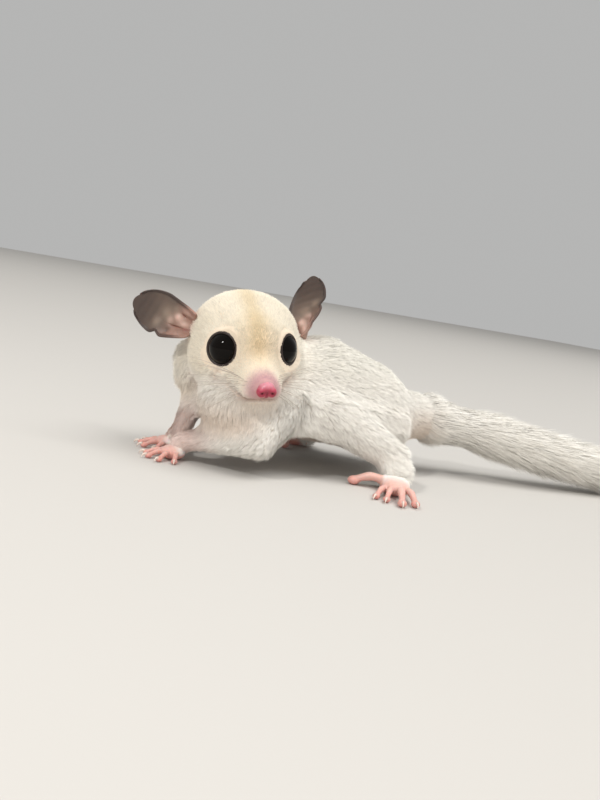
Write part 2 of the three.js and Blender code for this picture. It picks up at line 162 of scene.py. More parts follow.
# The shift from the animal's own axes to the frame's, found from where the eyes are in both.
EYES_MIDDLE = in_head(EYE_AT.x, 0, EYE_AT.z)
SHIFT = (middle_of("eye_left") + middle_of("eye_right")) / 2 - EYES_MIDDLE
TO_FRAME = Matrix.Scale(METRES, 4) @ Matrix.Translation(SHIFT)
FROM_FRAME = TO_FRAME.inverted()


def linked(name, data):
    made = bpy.data.objects.new(name, data)
    bpy.context.scene.collection.objects.link(made)
    return made


def from_bmesh(name, bm):
    mesh = bpy.data.meshes.new(name)
    bm.to_mesh(mesh)
    bm.free()
    return linked(name, mesh)


def apply_modifiers(piece):
    """Keeps the shape that the modifiers give, and takes them off."""
    depsgraph = bpy.context.evaluated_depsgraph_get()
    made = bpy.data.meshes.new_from_object(piece.evaluated_get(depsgraph))
    piece.modifiers.clear()
    old = piece.data
    piece.data = made
    bpy.data.meshes.remove(old)


def even_out(piece, voxel, iterations):
    """Joins all closed forms in the piece into one even skin, and softens it."""
    remesh = piece.modifiers.new("one skin", "REMESH")
    remesh.mode = "VOXEL"
    remesh.voxel_size = voxel
    soften = piece.modifiers.new("soften", "SMOOTH")
    soften.factor = 0.5
    soften.iterations = iterations
    apply_modifiers(piece)


def place(piece, material, slot, *replaced, faceted=False):
    """Puts a finished piece into the frame, gives it its finish and fixes it to the body."""
    piece.data.transform(TO_FRAME)
    piece.data.materials.clear()
    piece.data.materials.append(material)
    if not faceted:
        piece.data.polygons.foreach_set("use_smooth", np.ones(len(piece.data.polygons), bool))
    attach(piece, BODY)
    if replaced:
        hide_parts(*replaced)
    return piece


def read(items, attribute, width=3, kind=float):
    """The same attribute of all items, with a row for each."""
    values = np.empty(len(items) * width, kind)
    items.foreach_get(attribute, values)
    return values.reshape(-1, width)


def coordinates(mesh):
    return read(mesh.vertices, "co")


def normals_of(mesh):
    return read(mesh.vertex_normals, "vector")


def set_coordinates(mesh, points):
    mesh.vertices.foreach_set("co", points.ravel())
    mesh.update()


def mixed(colour, other, share):
    """The colour with this share of the other mixed in at each point."""
    share = np.clip(share, 0, 1)[:, None]
    return colour * (1 - share) + other * share


def paint(mesh, colours):
    """Stores a colour at each point, which the materials read as tint."""
    layer = mesh.color_attributes.new("tint", "FLOAT_COLOR", "POINT")
    rgba = np.ones((len(colours), 4))
    rgba[:, :3] = np.clip(colours, 0, 1)
    layer.data.foreach_set("color", rgba.ravel())


# Materials


def new_material(name, **inputs):
    """A material with these inputs set on its shader, named with _ for each space."""
    material = bpy.data.materials.new(name)
    material.use_nodes = True
    nodes = material.node_tree.nodes
    shader = nodes["Principled BSDF"]
    for socket, value in inputs.items():
        shader.inputs[socket.replace("_", " ")].default_value = value
    return material, nodes, material.node_tree.links, shader


def speckled_tint(nodes, links, scale, low, high):
    """The painted colour, made lighter and darker by a fine noise between low and high."""
    tint = nodes.new("ShaderNodeAttribute")
    tint.attribute_name = "tint"
    place_on = nodes.new("ShaderNodeTexCoord")
    noise = nodes.new("ShaderNodeTexNoise")
    noise.inputs["Scale"].default_value = scale
    noise.inputs["Detail"].default_value = 3
    span = nodes.new("ShaderNodeMapRange")
    span.inputs["To Min"].default_value = low
    span.inputs["To Max"].default_value = high
    shaded = nodes.new("ShaderNodeVectorMath")
    shaded.operation = "SCALE"
    links.new(place_on.outputs["Object"], noise.inputs["Vector"])
    links.new(noise.outputs["Fac"], span.inputs["Value"])
    links.new(tint.outputs["Color"], shaded.inputs[0])
    links.new(span.outputs["Result"], shaded.inputs["Scale"])
    return shaded.outputs["Vector"], place_on


def horn_material(name, speckles, low, high, **inputs):
    """Hair or claw, in its painted colour."""
    material, nodes, links, shader = new_material(name, **inputs)
    colour, _ = speckled_tint(nodes, links, speckles, low, high)
    links.new(colour, shader.inputs["Base Color"])
    return material


def bare_skin_material(name, roughness, wrinkle_scale, wrinkle_depth, soft_light):
    """Finely wrinkled skin, which lets through the given share of soft light."""
    material, nodes, links, shader = new_material(
        name,
        Roughness=roughness,
        Subsurface_Weight=soft_light,
        Subsurface_Radius=(1.0, 0.4, 0.25),
        Subsurface_Scale=0.0008,
    )
    colour, place_on = speckled_tint(nodes, links, 500, 0.85, 1.12)
    links.new(colour, shader.inputs["Base Color"])
    wrinkles = nodes.new("ShaderNodeTexVoronoi")
    wrinkles.feature = "DISTANCE_TO_EDGE"
    wrinkles.inputs["Scale"].default_value = wrinkle_scale
    bump = nodes.new("ShaderNodeBump")
    bump.inputs["Strength"].default_value = 0.35
    bump.inputs["Distance"].default_value = wrinkle_depth
    links.new(place_on.outputs["Object"], wrinkles.inputs["Vector"])
    links.new(wrinkles.outputs["Distance"], bump.inputs["Height"])
    links.new(bump.outputs["Normal"], shader.inputs["Normal"])
    return material


def eye_material():
    material, nodes, links, shader = new_material("black eye", Roughness=0.03, Specular_IOR_Level=0.12)
    place_on = nodes.new("ShaderNodeTexCoord")
    noise = nodes.new("ShaderNodeTexNoise")
    noise.inputs["Scale"].default_value = 300
    ramp = nodes.new("ShaderNodeValToRGB")
    ramp.color_ramp.elements[0].color = (0.0015, 0.0012, 0.001, 1)
    ramp.color_ramp.elements[1].color = (0.006, 0.004, 0.003, 1)
    links.new(place_on.outputs["Object"], noise.inputs["Vector"])
    links.new(noise.outputs["Fac"], ramp.inputs["Fac"])
    links.new(ramp.outputs["Color"], shader.inputs["Base Color"])
    return material


COAT = horn_material(
    "white coat",
    900,
    0.9,
    1.08,
    Roughness=0.75,
    Specular_IOR_Level=0.25,
    Sheen_Weight=0.3,
    Sheen_Roughness=0.5,
)
UNDERCOAT = bare_skin_material("skin under the coat", 0.8, 900, 0.0001, 0.0)
PAW_SKIN = bare_skin_material("pink paw skin", 0.45, 1400, 0.00012, 0.25)
EAR_SKIN = bare_skin_material("thin ear skin", 0.5, 1100, 0.00008, 0.15)
NOSE_SKIN = bare_skin_material("moist nose skin", 0.28, 2600, 0.00008, 0.25)
LID_SKIN = bare_skin_material("dark lid skin", 0.4, 2600, 0.00005, 0.0)
EYE = eye_material()
CLAW = horn_material("pale claw", 1500, 0.9, 1.05, Roughness=0.3)


# Lines that the body follows


class Line:
    """A smooth line through points, with even steps along it."""

    def __init__(self, points, steps=120):
        points = np.array(points, float)
        before = 2 * points[0] - points[1]
        after = 2 * points[-1] - points[-2]
        knots = np.vstack([before, points, after])
        samples = []
        for a, b, c, d in zip(knots, knots[1:], knots[2:], knots[3:]):
            for t in np.linspace(0, 1, 20, endpoint=False):
                straight = 2 * b + (c - a) * t
                curved = (2 * a - 5 * b + 4 * c - d) * t**2 + (3 * b - a - 3 * c + d) * t**3
                samples.append((straight + curved) / 2)
        samples.append(points[-1])
        samples = np.array(samples)
        run = np.concatenate([[0], np.cumsum(np.linalg.norm(np.diff(samples, axis=0), axis=1))])
        even = np.linspace(0, run[-1], steps)
        self.points = np.stack([np.interp(even, run, samples[:, k]) for k in range(3)], axis=1)
        self.along = unit(np.gradient(self.points, axis=0))

    def nearest(self, places):
        """The line's nearest point to each place.

        It comes as its share of the line's length, the way the line runs there, and the point itself.
        """
        best = np.empty(len(places), int)
        for start in range(0, len(places), 20000):
            part = places[start : start + 20000]
            gaps = ((part[:, None, :] - self.points[None]) ** 2).sum(-1)
            best[start : start + 20000] = gaps.argmin(1)
        return best / (len(self.points) - 1), self.along[best], self.points[best]

    def at(self, share):
        return self.points[min(len(self.points) - 1, int(round(share * (len(self.points) - 1))))]


TAIL = Line(TAIL_LINE)
MOUTH = Line(MOUTH_LINE)


def tail_radius(share):
    """How far the tail's hair reaches from its line."""
    taper = np.minimum(1, ((1 - np.minimum(share, 1)) / 0.15 + 0.02) ** 0.6)
    return TAIL_RADIUS * (1 - 0.14 * share) * taper


def tail_core_radius(share):
    fleshy = 1 - smooth(0, 0.16, share)
    return (0.42 + 0.5 * fleshy) * tail_radius(share)


# The skin: one surface under the whole coat


def add_ball(bm, centre, radii, turn=None, steps=3):
    """Adds an egg with the given radii, turned about its middle."""
    grown = Matrix.Translation(Vector(centre)) @ (turn or Matrix.Identity(4)) @ Matrix.Diagonal((*radii, 1))
    bmesh.ops.create_icosphere(bm, subdivisions=steps, radius=1, matrix=grown)


def node_bmesh(name):
    bm = bmesh.new()
    bm.from_mesh(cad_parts[name].data)
    bm.transform(FROM_FRAME)
    bmesh.ops.remove_doubles(bm, verts=bm.verts, dist=1e-4)
    return bm


# The forms grow by the first amount, which closes the gaps between them. Once they are joined, the whole
# swells by the second and shrinks by as much again, which fills the creases.
GAP_CLOSING = 0.24
SWELLING = 1.5
VOXEL = 0.42
# Balls fill the sockets behind the eyes, and the hollow behind the nose.
SOCKET_RADIUS = EYE_RADIUS + 0.3
NOSE_FILLING_AT = (NOSE_AT.x - 1.3, NOSE_AT.y, NOSE_AT.z + 0.1)
NOSE_FILLING_RADIUS = 1.9
# The tail's core ends at this share of its line. The rest is hair.
CORE_END = 0.94


def swell(piece, distance):
    set_coordinates(piece.data, coordinates(piece.data) + distance * normals_of(piece.data))


def make_skin():
    """All flesh joined to one skin, carried on under the tail's hair and over the wrists and heels."""
    whole = bmesh.new()
    for name in FLESH:
        bm = node_bmesh(name)
        bm.normal_update()
        for vertex in bm.verts:
            vertex.co += vertex.normal * GAP_CLOSING
        part = bpy.data.meshes.new(name)
        bm.to_mesh(part)
        bm.free()
        whole.from_mesh(part)
        bpy.data.meshes.remove(part)
    for side in SIDES.values():
        add_ball(whole, in_head(EYE_AT.x, side * EYE_AT.y, EYE_AT.z), (SOCKET_RADIUS,) * 3)
    add_ball(whole, in_head(*NOSE_FILLING_AT), (NOSE_FILLING_RADIUS,) * 3)
    for share in np.linspace(0, CORE_END, 80):
        add_ball(whole, TAIL.at(share), (float(tail_core_radius(share)),) * 3)
    for plan, at, turn, thumb_side in PAWS.values():
        for centre, radius in plan["coated"]:
            add_ball(whole, paw_frame(at, turn, thumb_side) @ Vector(centre), (radius,) * 3)
    piece = from_bmesh("skin", whole)
    even_out(piece, VOXEL, 3)
    swell(piece, SWELLING)
    even_out(piece, VOXEL, 10)
    swell(piece, -SWELLING)
    soften_body(piece)
    return piece


# The head keeps its shape within the first distance of its middle, and the body is soft beyond the second.
HEAD_MIDDLE = (2, 0, -1)
HEAD_REACH = 12
BODY_REACH = 16


def soften_body(piece):
    """Rounds off the edges between trunk, legs and neck, and leaves the head as it is."""
    points = coordinates(piece.data)
    apart = gap_to(points, in_head(*HEAD_MIDDLE))
    group = piece.vertex_groups.new(name="body")
    weights = smooth(HEAD_REACH, BODY_REACH, apart)
    for index in np.flatnonzero(weights > 0.01):
        group.add([int(index)], float(weights[index]), "REPLACE")
    soften = piece.modifiers.new("round off", "SMOOTH")
    soften.factor = 0.5
    soften.iterations = 26
    soften.vertex_group = "body"
    apply_modifiers(piece)
    piece.vertex_groups.clear()


def in_eye(points, side):
    """The points in the eye's own frame, with z the way it looks."""
    return moved(points, eye_frame(side).inverted())


# Between the lids the skin sinks under the eyeball by the first amount. Round them, over the angle, it stays
# clear of the ball by the second. All of this takes place within the reach of the ball.
EYE_SINKING = 0.5
LID_CLEARANCE = 0.15
LID_WIDTH = math.radians(50)
LID_REACH = 3


def open_lids(points, side):
    """Sinks the skin under the ball inside the lids, and holds it just clear of the ball round them."""
    local = in_eye(points, side)
    reach = np.linalg.norm(local, axis=1)
    angle = np.arccos(np.clip(local[:, 2] / reach, -1, 1))
    near = reach < EYE_RADIUS + LID_REACH
    inside = near & (angle < LID_ANGLES[side])
    wanted = np.where(inside, np.minimum(reach, EYE_RADIUS - EYE_SINKING), reach)
    rim = near & ~inside & (angle < LID_ANGLES[side] + LID_WIDTH)
    wanted = np.where(rim, np.maximum(wanted, EYE_RADIUS + LID_CLEARANCE), wanted)
    return moved(local * (wanted / reach)[:, None], eye_frame(side))


# The furthest that a point looks for a flesh node.
SEARCH = 12.0
# The tail's coat begins past this x.
RUMP_END = 38


def region_distances(points):
    """How far each point is from each flesh node, and from the tail's core."""
    gaps = {}
    for name in FLESH:
        bm = node_bmesh(name)
        tree = BVHTree.FromBMesh(bm)
        bm.free()
        gaps[name] = np.array([tree.find_nearest(Vector(p), SEARCH)[3] or SEARCH for p in points])
    share, _, centre = TAIL.nearest(points)
    beyond_rump = smooth(-2, 4, points[:, 0] - RUMP_END)
    off_core = np.linalg.norm(points - centre, axis=1) - tail_core_radius(share)
    gaps["tail"] = np.abs(off_core) + 8 * (1 - beyond_rump)
    return gaps


# Over about this distance the coat of one region passes into the next.
BLENDING = 1.1
# No hair grows nearer than this to the lids, as an angle, nor to the nose's middle and the mouth's line.
BARE_BY_LID = 0.14
BARE_BY_NOSE = 2.2
BARE_BY_MOUTH = 0.35
# The mouth's line is looked for within this distance of the nose.
MUZZLE_REACH = 16
# The skin lies this share of the hair's length under the coat's surface, and deeper in the mouth's groove.
SKIN_DEPTH = 0.33
GROOVE_DEPTH = 0.45
GROOVE_WIDTH = 0.45


class Coat:
    """How the coat lies at each point of the skin: its way, length, density, width, lift and clumping."""

    def __init__(self, points, normals):
        gaps = region_distances(points)
        names = list(gaps)
        weights = np.stack([np.exp(-gaps[name] / BLENDING) for name in names], axis=1)
        weights /= weights.sum(1, keepdims=True)
        self.weights = dict(zip(names, weights.T))
        self.points = points
        self.normals = normals
        self.local = moved(points, HEAD_FRAME.inverted())
        self.nose_gap = gap_to(points, in_head(*NOSE_AT))
        self.tail_share, self.tail_way, _ = TAIL.nearest(points)
        mirrored = self.local * [1, 0, 1] + np.abs(self.local) * [0, 1, 0]
        self.mouth_gap = self.to_mouth(mirrored)
        self.eye_gap, self.from_eye = self.eyes()
        by_eye = 1 - smooth(EYE_RADIUS + 0.4, EYE_RADIUS + 2.6, self.eye_gap)
        self.length = self.blend(self.lengths()) * (1 - 0.45 * by_eye)
        way = sum(self.weights[name][:, None] * lie for name, lie in self.lies().items())
        way = way * (1 - by_eye)[:, None] + self.from_eye * by_eye[:, None]
        way -= normals * (way * normals).sum(1, keepdims=True)
        self.way = unit(way)
        self.density = self.blend(self.densities())
        self.density[(self.beyond_lid < BARE_BY_LID) & (self.eye_gap < EYE_RADIUS + 2)] = 0
        self.density[self.nose_gap < BARE_BY_NOSE] = 0
        self.density[self.mouth_gap < BARE_BY_MOUTH] = 0
        self.width = self.blend(self.widths())
        self.lift = self.blend(self.lifts())
        self.clumping = self.blend(self.clumpings())

    def to_mouth(self, mirrored):
        """Each point's distance from the mouth's line, once that is laid on the skin."""
        gap = np.full(len(mirrored), 99.0)
        near = np.flatnonzero(self.nose_gap < MUZZLE_REACH)
        muzzle = mirrored[near]
        for share in np.linspace(0, 1, 90):
            on_skin = muzzle[gap_to(muzzle, MOUTH.at(share)).argmin()]
            gap[near] = np.minimum(gap[near], gap_to(muzzle, on_skin))
        return gap

    def eyes(self):
        """Each point's distance from the nearer eye, and the way out from where that eye looks."""
        gaps = []
        ways = []
        angles = []
        for side in SIDES.values():
            local = in_eye(self.points, side)
            gap = np.linalg.norm(local, axis=1)
            out = unit(local * [1, 1, 0]) @ np.array(eye_frame(side))[:3, :3].T
            gaps.append(gap)
            ways.append(out)
            angles.append(np.arccos(np.clip(local[:, 2] / gap, -1, 1)) - LID_ANGLES[side])
        left = gaps[0] < gaps[1]
        self.beyond_lid = np.where(left, *angles)
        return np.where(left, *gaps), np.where(left[:, None], *ways)

    def blend(self, values):
        return sum(self.weights[name] * values[name] for name in self.weights)

    def lies(self):
        """The way that the hair of each region is combed."""
        x = self.points[:, 0]
        towards = {
            "head": unit(self.points - np.array(in_head(*NOSE_AT))),
            "neck": unit(np.array([0.45, 0.25, -0.85])),
            "tail": self.tail_way,
        }
        breast = (1 - smooth(-14, -6, x))[:, None]
        towards["torso"] = unit(
            (1 - breast) * np.array([0.92, 0, -0.35]) + breast * np.array([0.25, 0.05, -0.95])
        )
        for name, (top, bend, end) in LEGS.items():
            side = -1 if name.endswith("left") else 1
            if name.startswith("hind"):
                towards[name] = unit(np.array([0.72, side * 0.1, -0.62]))
            else:
                upper = unit(np.array(bend) - np.array(top))
                lower = unit(np.array(end) - np.array(bend)) + np.array([0.15, 0, -0.45])
                below = smooth(0.0, 4.0, np.array(bend)[2] + 2 - self.points[:, 2])[:, None]
                towards[name] = unit((1 - below) * upper + below * lower)
        for name in FOLDS:
            towards[name] = unit(np.array([0.8, 0, -0.6]))
        return towards

    def lengths(self):
        lengths = {"neck": 2.4, "torso": 2.3}
        lengths["head"] = 0.5 + 1.3 * smooth(4, 32, self.nose_gap)
        for name, (_, _, end) in LEGS.items():
            reach = gap_to(self.points, end)
            if name.startswith("hind"):
                fringe = 1.0 * smooth(0.2, 0.9, self.normals[:, 0])
                longest = 2.3
                shortest = 2.7
            else:
                fringe = 0.5 * smooth(0.2, 0.9, -self.normals[:, 2])
                longest = 1.8
                shortest = 1.2
            lengths[name] = shortest + (longest - shortest + fringe) * smooth(0.5, 8, reach)
        for name in FOLDS:
            lengths[name] = 2.4
        lengths["tail"] = 2.6 + 6.8 * smooth(0.0, 0.16, self.tail_share)
        return lengths

    def densities(self):
        densities = dict.fromkeys(self.weights, 33.0)
        densities["head"] = 30 + 10 * (1 - smooth(6, 26, self.nose_gap))
        densities["tail"] = 19.0
        return densities

    def widths(self):
        widths = dict.fromkeys(self.weights, 0.23)
        widths["head"] = 0.16 + 0.05 * smooth(4, 26, self.nose_gap)
        widths["tail"] = 0.26
        return widths

    def lifts(self):
        lifts = dict.fromkeys(self.weights, math.radians(20))
        lifts["head"] = math.radians(15)
        return lifts

    def clumpings(self):
        clumpings = dict.fromkeys(self.weights, 0.42)
        clumpings["head"] = 0.1
        clumpings["neck"] = 0.3
        clumpings["tail"] = 0.35
        return clumpings

    def depth(self):
        """How deep the skin lies under the coat's surface."""
        under_hair = SKIN_DEPTH * self.length * (1 - self.weights["tail"])
        return under_hair + GROOVE_DEPTH * np.exp(-((self.mouth_gap / GROOVE_WIDTH) ** 2))


# Colours are linear, as painted.
CREAM = np.array([0.87, 0.79, 0.64])
WHITE = np.array([0.93, 0.9, 0.84])
PAW_WHITE = np.array([0.97, 0.92, 0.88])
GREYED = np.array([0.8, 0.78, 0.7])
STRIPE = np.array([0.68, 0.52, 0.27])
MUZZLE_PINK = np.array([0.55, 0.31, 0.35])
# A painted shadow along the mouth's line.
LIP_SHADOW = np.array([0.24, 0.1, 0.08])
BARE_ARM = np.array([0.78, 0.5, 0.44])
# Painted warm shade, with warm reflected light in it, for the underside.
PAINTED_WARM_SHADE = np.array([0.8, 0.62, 0.48])
EAR_PINK = np.array([0.66, 0.4, 0.33])


def coat_colour(coat):
    """The markings: a yellow-brown line over the crown, a pink muzzle and a greyer back; also painted warm
    shade under the breast and jaw, and a painted shadow along the mouth's line.
    """
    forward, side, up = coat.local.T
    x, _, z = coat.points.T
    head = coat.weights["head"]
    torso = coat.weights["torso"]
    neck = coat.weights["neck"]
    back = torso * smooth(18, 27, z) * smooth(-6, 4, x)
    colour = mixed(WHITE, GREYED, 0.5 * back)
    colour = mixed(colour, CREAM, 0.8 * head * smooth(-9, -3, up) + 0.4 * neck)
    crown = np.exp(-(((side + 0.3) / 2.2) ** 2)) * smooth(-2.0, 3.0, up) * smooth(-14, -7, forward)
    colour = mixed(colour, STRIPE, 0.5 * crown * head)
    bridge = np.exp(-((side / 4.2) ** 2)) * smooth(-3.5, 1.5, up) * smooth(5, 10, forward)
    colour = mixed(colour, STRIPE, 0.25 * bridge * head)
    muzzle = (1 - smooth(2.4, 6.2, coat.nose_gap)) * smooth(-8.6, -6.6, up)
    colour = mixed(colour, MUZZLE_PINK, 0.9 * muzzle * head)
    # Painted warm shade on the underside of the neck and trunk and under the jaw.
    under = (1 - smooth(10, 19, z)) * (torso + neck)
    jaw = head * (1 - smooth(-10, -5, up))
    colour = mixed(colour, PAINTED_WARM_SHADE, 0.55 * under + 0.5 * jaw)
    # A painted shadow along the mouth's line, under the whisker pad.
    lip_shadow = np.exp(-((coat.mouth_gap / 0.7) ** 2)) * smooth(6, 12, forward)
    colour = mixed(colour, LIP_SHADOW, 0.85 * lip_shadow * head)
    for name in ("foreleg_left", "foreleg_right"):
        reach = gap_to(coat.points, LEGS[name][2])
        colour = mixed(colour, BARE_ARM, 0.5 * coat.weights[name] * (1 - smooth(2, 12, reach)))
    for spec in EARS.values():
        ear_gap = gap_to(coat.local, np.array(spec["at"]) * [1, 0.93, 1])
        colour = mixed(colour, EAR_PINK, 0.45 * (1 - smooth(2.0, 5.0, ear_gap)) * head)
    return colour


# Spikes: hairs in tufts, whiskers and claws are all closed, tapered and bent

# The side of a tuft's patch on the unwrap, of which the whole is 1.
UV_PATCH = 0.003


def spikes(
    name, root, control, tip, across, width, thickness, sides, rings, taper, colour, shade, place_uv=None
):
    """One mesh with a closed spike for each row, with a flat side upwards.

    The colour is scaled by the first shade at the root and by the second at the tip.
    """
    count = len(root)
    angles = 2 * np.pi * np.arange(sides) / sides - np.pi / 2
    corners = []
    shares = []
    for ring in range(rings):
        t = ring / rings
        centre = (1 - t) ** 2 * root + 2 * t * (1 - t) * control + t**2 * tip
        along = unit(2 * (1 - t) * (control - root) + 2 * t * (tip - control))
        lift = unit(np.cross(along, across))
        side = np.cross(lift, along)
        fill = (1 - t) ** taper
        for angle in angles:
            flat = side * (np.cos(angle) * width * fill / 2)[:, None]
            deep = lift * (np.sin(angle) * thickness * fill / 2)[:, None]
            corners.append(centre + flat + deep)
            shares.append((t, np.cos(angle) * (1 - t)))
    corners.append(tip)
    shares.append((1.0, 0.0))
    per = len(corners)
    points = np.stack(corners, axis=1).reshape(-1, 3)
    shares = np.array(shares)
    faces = [(0, k + 1, k) for k in range(1, sides - 1)]
    for ring in range(rings - 1):
        low = ring * sides
        for k in range(sides):
            after = (k + 1) % sides
            a, b, c, d = low + k, low + after, low + sides + after, low + sides + k
            faces += [(a, b, c), (a, c, d)]
    last = (rings - 1) * sides
    faces += [(last + k, last + (k + 1) % sides, per - 1) for k in range(sides)]
    faces = np.array(faces)
    a, b, c = (points[faces[:, k]] - points[0] for k in range(3))
    if (a * np.cross(b, c)).sum() < 0:
        faces = faces[:, ::-1]
    triangles = (faces[None] + per * np.arange(count)[:, None, None]).reshape(-1, 3)
    mesh = bpy.data.meshes.new(name)
    mesh.vertices.add(len(points))
    mesh.vertices.foreach_set("co", points.ravel())
    mesh.loops.add(triangles.size)
    mesh.loops.foreach_set("vertex_index", triangles.ravel())
    mesh.polygons.add(len(triangles))
    mesh.polygons.foreach_set("loop_start", np.arange(len(triangles)) * 3)
    mesh.polygons.foreach_set("use_smooth", np.zeros(len(triangles), bool))
    mesh.update(calc_edges=True)
    low_shade, high_shade = shade
    ramp = low_shade + (high_shade - low_shade) * shares[:, 0]
    paint(mesh, (colour[:, None, :] * ramp[None, :, None]).reshape(-1, 3))
    if place_uv is not None:
        spread = np.stack([UV_PATCH / 2 * shares[:, 1], UV_PATCH * (shares[:, 0] - 0.5)], axis=1)
        per_point = (place_uv[:, None, :] + spread[None]).reshape(-1, 2)
        layer = mesh.uv_layers.new(name="OFBake")
        layer.data.foreach_set("uv", per_point[triangles.ravel()].ravel())
    return linked(name, mesh)


def unwrap(piece):
    bpy.context.view_layer.objects.active = piece
    piece.select_set(True)
    piece.data.uv_layers.new(name="OFBake")
    bpy.ops.object.mode_set(mode="EDIT")
    bpy.ops.mesh.select_all(action="SELECT")
    bpy.ops.uv.smart_project(angle_limit=1.15, island_margin=0.001)
    bpy.ops.object.mode_set(mode="OBJECT")
    piece.select_set(False)


class Surface:
    """A skin that hairs are rooted in, with its unwrap."""

    def __init__(self, piece):
        mesh = piece.data
        mesh.calc_loop_triangles()
        self.corners = read(mesh.loop_triangles, "vertices", kind=np.int32)
        self.loops = read(mesh.loop_triangles, "loops", kind=np.int32)
        self.uvs = read(mesh.uv_layers["OFBake"].data, "uv", width=2)
        self.points = coordinates(mesh)
        self.normals = normals_of(mesh)

    def choose(self, density):
        """Draws places all over the surface, so many to a square millimetre."""
        a, b, c = (self.points[self.corners[:, k]] for k in range(3))
        area = np.linalg.norm(np.cross(b - a, c - a), axis=1) / 2
        expected = area * density[self.corners].mean(1)
        total = int(expected.sum())
        self.chosen = np.sort(rng.choice(len(area), total, p=expected / expected.sum()))
        u, v = rng.random((2, total))
        over = u + v > 1
        u[over], v[over] = 1 - u[over], 1 - v[over]
        self.mixing = np.stack([1 - u - v, u, v], axis=1)
        return total

    def spread(self, values):
        """The values of the points, at the chosen places."""
        picked = values[self.corners[self.chosen]]
        return (picked * self.mixing.reshape(len(self.chosen), 3, *(1,) * (values.ndim - 1))).sum(1)

    def place_uv(self):
        return (self.uvs[self.loops[self.chosen]] * self.mixing[:, :, None]).sum(1)


# The most triangles in one piece of the coat.
MOST_TRIANGLES = 195000
# How far a tuft's root is sunk in the skin, and how far its tip stays above the floor.
SINKING = 0.1
FLOOR_CLEARANCE = 0.15
# How much a tuft strays from the coat's way, and how many times its lift it rises by at the root.
STRAYING = 0.13
ROOT_RISE = 1.6
# A tuft's corners, its thickness as a share of its width, how it narrows, and its painted shade: darker at
# the root, where the tufts shade each other, and a little lighter at the tip.
TUFT_SIDES = 3
TUFT_FLATNESS = 0.4
TUFT_TAPER = 0.75
TUFT_PAINTED_SHADE = (0.8, 1.05)
# One tuft in so many draws its neighbours' tips to its own.
TUFTS_IN_LOCK = 50


def grow_hair(surface, density, way, length, lift, width, clumping, colour, parts):
    """Hairs in closed tufts, each rooted in the surface and lying the way the coat lies there.

    Each part has a name, the number of rings in a tuft, and its share at each point of the surface.
    """
    total = surface.choose(density)
    spread = surface.spread
    root = spread(surface.points)
    normal = unit(spread(surface.normals))
    way = unit(spread(way) + STRAYING * rng.standard_normal((total, 3)))
    way = unit(way - normal * (way * normal).sum(1, keepdims=True))
    length = spread(length) * rng.uniform(0.7, 1.2, total)
    lift = spread(lift) * rng.uniform(0.7, 1.3, total)
    width = spread(width) * rng.uniform(0.8, 1.25, total)
    tuft_colour = spread(colour) * rng.uniform(0.88, 1.06, (total, 1))
    place_uv = surface.place_uv()
    root_lift = ROOT_RISE * lift
    rise = np.sin(root_lift)[:, None] * normal + np.cos(root_lift)[:, None] * way
    control = root + rise * (length * 0.5)[:, None]
    tip = root + (way * np.cos(lift)[:, None] + normal * np.sin(lift)[:, None]) * length[:, None]
    tip = gather(root, tip, length, spread(clumping))
    tip[:, 2] = np.maximum(tip[:, 2], FLOOR_CLEARANCE)
    root = root - normal * SINKING
    across = unit(np.cross(normal, way))
    shares = np.stack([spread(share) for _, _, share in parts])
    owner = shares.argmax(0)
    for index, (part, rings, _) in enumerate(parts):
        rows = np.flatnonzero(owner == index)
        triangles_in_tuft = 2 * TUFT_SIDES * rings - 2
        most = MOST_TRIANGLES // triangles_in_tuft
        for number, start in enumerate(range(0, len(rows), most), 1):
            some = rows[start : start + most]
            tufts = spikes(
                f"coat_{part}_{number}",
                root[some],
                control[some],
                tip[some],
                across[some],
                width[some],
                width[some] * TUFT_FLATNESS,
                TUFT_SIDES,
                rings,
                TUFT_TAPER,
                tuft_colour[some],
                TUFT_PAINTED_SHADE,
                place_uv[some],
            )
            place(tufts, COAT, "coat", faceted=True)


def gather(root, tip, length, clumping):
    """Draws the tips of neighbouring tufts together a little, so that the coat parts into soft locks."""
    leaders = rng.choice(len(root), len(root) // TUFTS_IN_LOCK, replace=False)
    tree = KDTree(len(leaders))
    for i, leader in enumerate(leaders):
        tree.insert(root[leader], i)
    tree.balance()
    nearest = np.array([leaders[tree.find(p)[1]] for p in root])
    offset = tip[nearest] - tip
    gap = np.linalg.norm(offset, axis=1)
    pull = clumping * np.exp(-gap / (0.9 * length + 0.3))
    return tip + offset * pull[:, None]


# Eyes

# The cornea stands out of the ball by up to half of this.
CORNEA_FULLNESS = 0.3
# The rim of the lids is a ring of this radius, and its middle lies this far off the ball.
LID_RIM_RADIUS = 0.32
LID_RIM_GAP = 0.12
LID_COLOUR = np.array([0.03, 0.018, 0.015])


